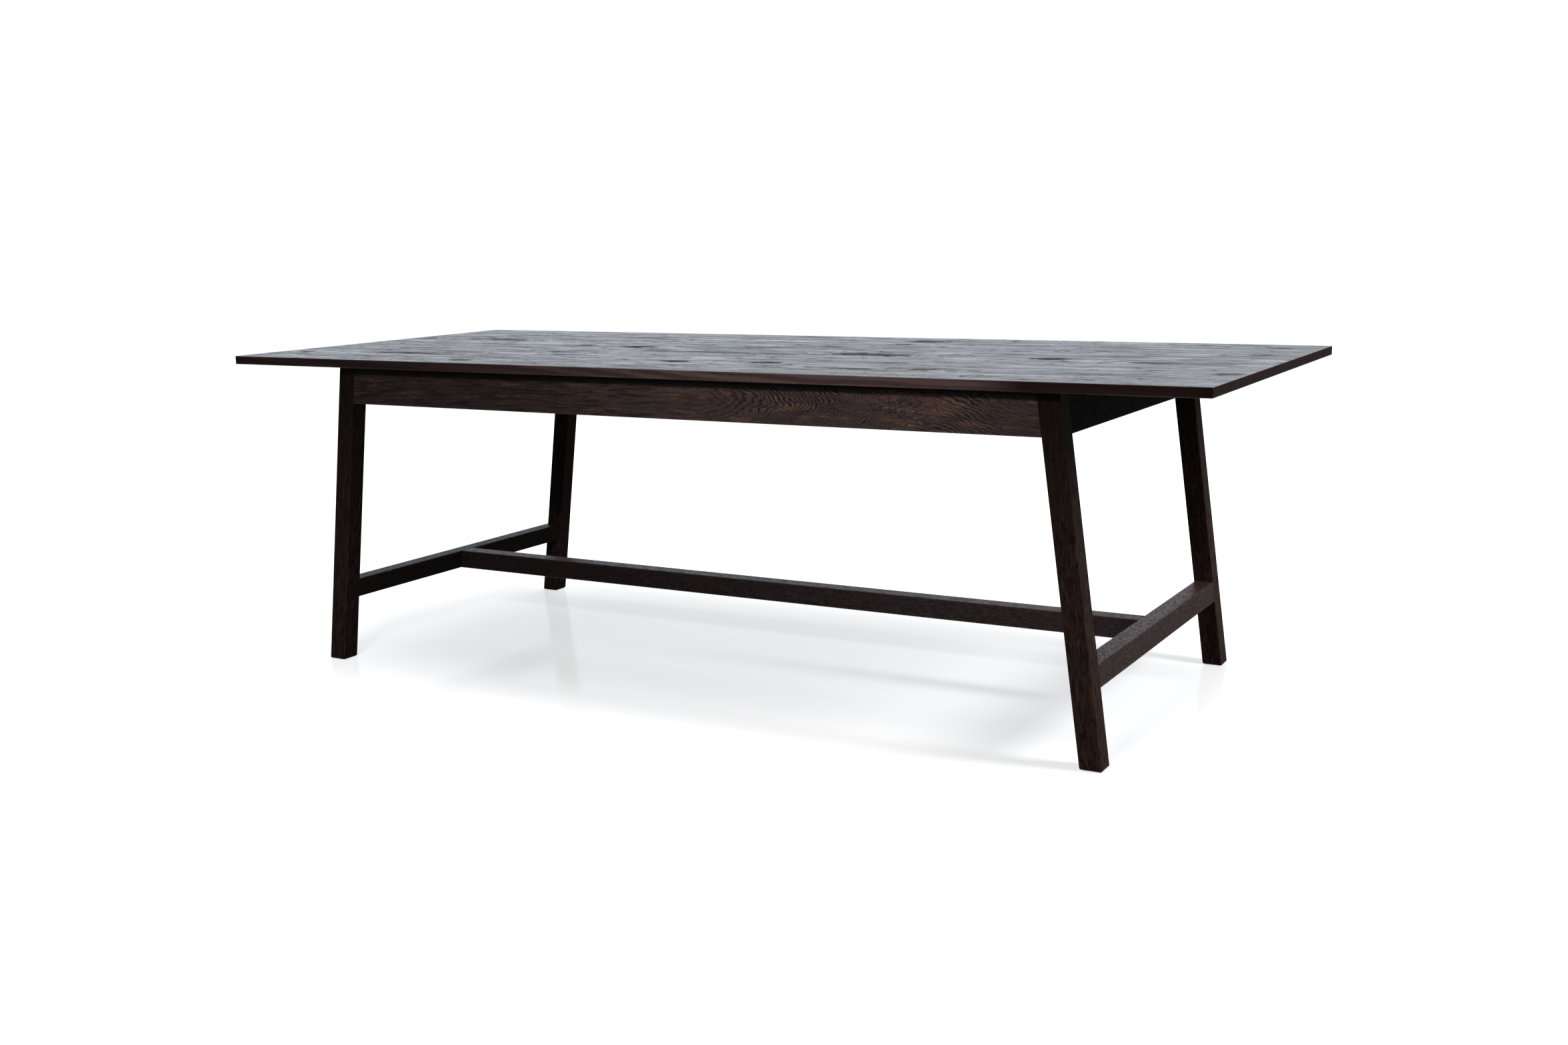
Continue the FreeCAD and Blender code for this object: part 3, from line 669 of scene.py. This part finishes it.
def dress_end_aprons():
    halves = (END_RAIL_HALF_LENGTH, APRON_HEIGHT / 2, APRON_THICKNESS / 2)
    for end, sign in ENDS:
        middle = (sign * leg_axis_x(APRON_MIDDLE_Z), 0.0, APRON_MIDDLE_Z)
        board = Board(middle, Y_AXIS, leaning(sign), halves)
        log = reseeded(END_APRON_LOG, sign)
        dress("apron_" + end, oak("end_apron_oak_" + end, board, END_APRON_SHADED_LOOK, log))


def dress_stretchers():
    looks = {"right": STRETCHER_LOOK, "left": LEFT_STRETCHER_SHADED_LOOK}
    halves = (END_RAIL_HALF_LENGTH, STRETCHER_HEIGHT / 2, END_STRETCHER_THICKNESS / 2)
    for end, sign in ENDS:
        middle = (sign * leg_axis_x(STRETCHER_MIDDLE_Z), 0.0, STRETCHER_MIDDLE_Z)
        board = Board(middle, Y_AXIS, leaning(sign), halves)
        log = reseeded(END_STRETCHER_LOG, sign)
        dress("end_stretcher_" + end, oak("end_stretcher_oak_" + end, board, looks[end], log))
    halves = (CENTRE_HALF_LENGTH, STRETCHER_HEIGHT / 2, STRETCHER_HEIGHT / 2)
    board = Board((0.0, 0.0, STRETCHER_MIDDLE_Z), X_AXIS, Z_AXIS, halves)
    material = oak("centre_stretcher_oak", board, STRETCHER_LOOK, CENTRE_LOG, stain=CENTRE_PAINTED_SHADE)
    dress("centre_stretcher", material)


def dress_legs():
    halves = (LEG_HALF_LENGTH, LEG_SIZE / 2, LEG_SIZE / 2)
    for side, y_sign in SIDES:
        for end, x_sign in ENDS:
            name = "leg_%s_%s" % (side, end)
            middle = (x_sign * leg_axis_x(LEG_MIDDLE_Z), y_sign * LEG_MIDDLE_Y, LEG_MIDDLE_Z)
            width = (math.cos(LEAN), 0, x_sign * math.sin(LEAN))
            board = Board(middle, leaning(x_sign), width, halves)
            log = reseeded(LEG_LOG, 2 * x_sign + y_sign)
            marks = LEG_MARKS.get(name, {})
            dress(name, oak(name + "_oak", board, LEG_LOOK, log, stain=LEG_PAINTED_SHADE, **marks))


def dress_inner():
    for index, name in enumerate(sorted(nodes)):
        for start, (grain, width, axes) in INNER_BOARDS.items():
            if name.startswith(start) and not name.endswith("_screws"):
                low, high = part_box(name)
                halves = [(high[axis] - low[axis]) / 2 for axis in axes]
                board = Board((low + high) / 2, grain, width, halves)
                dress(name, oak("inner_" + name, board, INNER_LOOK, reseeded(INNER_LOG, index)))


def dress_screws():
    look = STEEL_LOOK
    steel = bpy.data.materials.new("zinc_steel")
    graph = Graph(steel)
    place = graph.node("ShaderNodeTexCoord", {}).outputs["Object"]
    cloud = graph.noise(place, look["clouds"], *SOFT)["Fac"]
    scratch = graph.noise(place, look["scratches"])["Fac"]
    colour = graph.blend(graph.span(cloud, *look["cloud_range"]), rgba(look["dark"]), rgba(look["bright"]))
    uneven = graph.math("ADD", cloud, graph.math("MULTIPLY", scratch, look["scratch_share"]))
    rough = graph.span(uneven, *look["rough_range"], look["smoothest"], look["roughest"])
    relief = graph.bump(scratch, look["bump"], look["depth"])
    graph.end_principled(Base_Color=colour, Roughness=rough, Normal=relief, Metallic=1.0)
    for name in nodes:
        if name.endswith("_screws"):
            dress(name, steel)


def dress_glides():
    look = NYLON_LOOK
    nylon = bpy.data.materials.new("moulded_nylon")
    graph = Graph(nylon)
    place = graph.node("ShaderNodeTexCoord", {}).outputs["Object"]
    grain = graph.noise(place, look["grain"])["Fac"]
    scuff = graph.noise(place, look["scuffs"], *look["scuff_noise"])["Fac"]
    scuff = graph.span(scuff, *look["scuff_range"])
    colour = graph.blend(scuff, rgba(look["plain"]), rgba(look["scuffed"]))
    rough = graph.math("MULTIPLY_ADD", grain, look["grain_rough"], look["smoothest"])
    rough = graph.math("MULTIPLY_ADD", scuff, look["scuff_rough"], rough)
    relief = graph.bump(grain, look["bump"], look["depth"])
    graph.end_principled(Base_Color=colour, Roughness=rough, Normal=relief, IOR=look["ior"])
    for name in nodes:
        if name.startswith("foot_glide"):
            dress(name, nylon)


def make_world():
    """Soft cool light all round. The camera sees it white, and mirrors see it pale and cool."""
    world = bpy.data.worlds.new("studio")
    bpy.context.scene.world = world
    graph = Graph(world)
    path = graph.node("ShaderNodeLightPath", {}).outputs
    backgrounds = []
    for colour, level in STUDIO:
        made = graph.node("ShaderNodeBackground", {"Color": rgba(colour), "Strength": level})
        backgrounds.append(made.outputs[0])
    light, pale, white = backgrounds
    mirrored = graph.most(path["Is Glossy Ray"], path["Is Transmission Ray"])
    mixed = graph.node("ShaderNodeMixShader", {0: mirrored, 1: light, 2: pale})
    mixed = graph.node("ShaderNodeMixShader", {0: path["Is Camera Ray"], 1: mixed.outputs[0], 2: white})
    graph.end(mixed, "ShaderNodeOutputWorld")


def floor_level(graph):
    """How bright the floor glows: white away from the table, dimmed in the patch under it as a painted
    shadow, darker towards the right.
    """
    x, y, _ = graph.parts(graph.node("ShaderNodeTexCoord", {}).outputs["Object"])
    powers = []
    for coordinate, (middle, half) in zip((x, y), PAINTED_SHADOW_PATCH):
        off = graph.math("ABSOLUTE", graph.math("SUBTRACT", coordinate, middle))
        powers.append(graph.math("POWER", graph.math("DIVIDE", off, half), PAINTED_SHADOW_POWER))
    reach = graph.math("POWER", graph.math("ADD", *powers), 1 / PAINTED_SHADOW_POWER)
    # Painted shadow: the patch's glow is lower towards the right.
    shade = graph.span(x, *PAINTED_SHADOW_X_RANGE, *PAINTED_SHADOW_LEVELS)
    outward = graph.span(reach, *PAINTED_SHADOW_FADE_RANGE)
    return graph.math("MULTIPLY_ADD", outward, graph.math("SUBTRACT", WHITE_LEVEL, shade), shade)


def make_floor():
    """Pale floor that fades to white away from the table, with a painted shadow in the patch under it, and
    keeps its real shadow.
    """
    half = FLOOR_HALF
    corners = [(-half, -half, 0), (half, -half, 0), (half, half, 0), (-half, half, 0)]
    mesh = bpy.data.meshes.new("floor")
    mesh.from_pydata(corners, [], [(0, 1, 2, 3)])
    floor = bpy.data.objects.new("floor", mesh)
    bpy.context.scene.collection.objects.link(floor)
    material = bpy.data.materials.new("floor_white")
    graph = Graph(material)
    path = graph.node("ShaderNodeLightPath", {}).outputs
    grey = graph.blend(path["Is Camera Ray"], rgba(FLOOR_GREY), rgba(FLOOR_GREY_SEEN))
    matt = graph.node("ShaderNodeBsdfDiffuse", {"Color": grey})
    seen = graph.most(path["Is Camera Ray"], path["Is Glossy Ray"], path["Is Transmission Ray"])
    strength = graph.math("MULTIPLY", seen, floor_level(graph))
    glow = graph.node("ShaderNodeEmission", {"Color": rgba(FLOOR_GLOW), "Strength": strength})
    shine = {"Color": rgba(FLOOR_MIRROR), "Roughness": FLOOR_MIRROR_ROUGHNESS}
    mirror = graph.node("ShaderNodeBsdfGlossy", shine)
    total = graph.node("ShaderNodeAddShader", {0: matt.outputs[0], 1: glow.outputs[0]})
    graph.end(graph.node("ShaderNodeAddShader", {0: total.outputs[0], 1: mirror.outputs[0]}))
    mesh.materials.append(material)


def make_lamps():
    for name, place, aim, size, power, colour in LAMPS:
        data = bpy.data.lights.new(name, "AREA")
        data.shape = "RECTANGLE"
        data.size, data.size_y = size
        data.energy = power
        data.color = colour
        lamp = bpy.data.objects.new(name, data)
        lamp.location = place
        lamp.rotation_euler = (Vector(aim) - Vector(place)).to_track_quat("-Z", "Y").to_euler()
        lamp.visible_camera = False
        lamp.visible_glossy = False
        bpy.context.scene.collection.objects.link(lamp)


def make_camera():
    """A camera that looks along +Y before it is turned: up by its tilt, left by its heading, and rolled."""
    data = bpy.data.cameras.new("camera")
    data.sensor_width = SENSOR_WIDTH
    data.lens = SENSOR_WIDTH * FOCAL_PIXELS / PICTURE_WIDTH_PIXELS
    data.clip_end = CAMERA_CLIP_END
    camera = bpy.data.objects.new("camera", data)
    heading = Matrix.Rotation(math.radians(CAMERA_HEADING), 4, "Z")
    tilt = Matrix.Rotation(math.pi / 2 + math.radians(CAMERA_TILT), 4, "X")
    roll = Matrix.Rotation(math.radians(CAMERA_ROLL), 4, "Z")
    camera.matrix_world = Matrix.Translation(CAMERA_PLACE) @ heading @ tilt @ roll
    bpy.context.scene.collection.objects.link(camera)
    bpy.context.scene.camera = camera


dress_top()
dress_long_aprons()
dress_end_aprons()
dress_stretchers()
dress_legs()
dress_inner()
dress_screws()
dress_glides()
make_world()
make_floor()
make_lamps()
make_camera()
bpy.context.scene.view_settings.view_transform = "Standard"
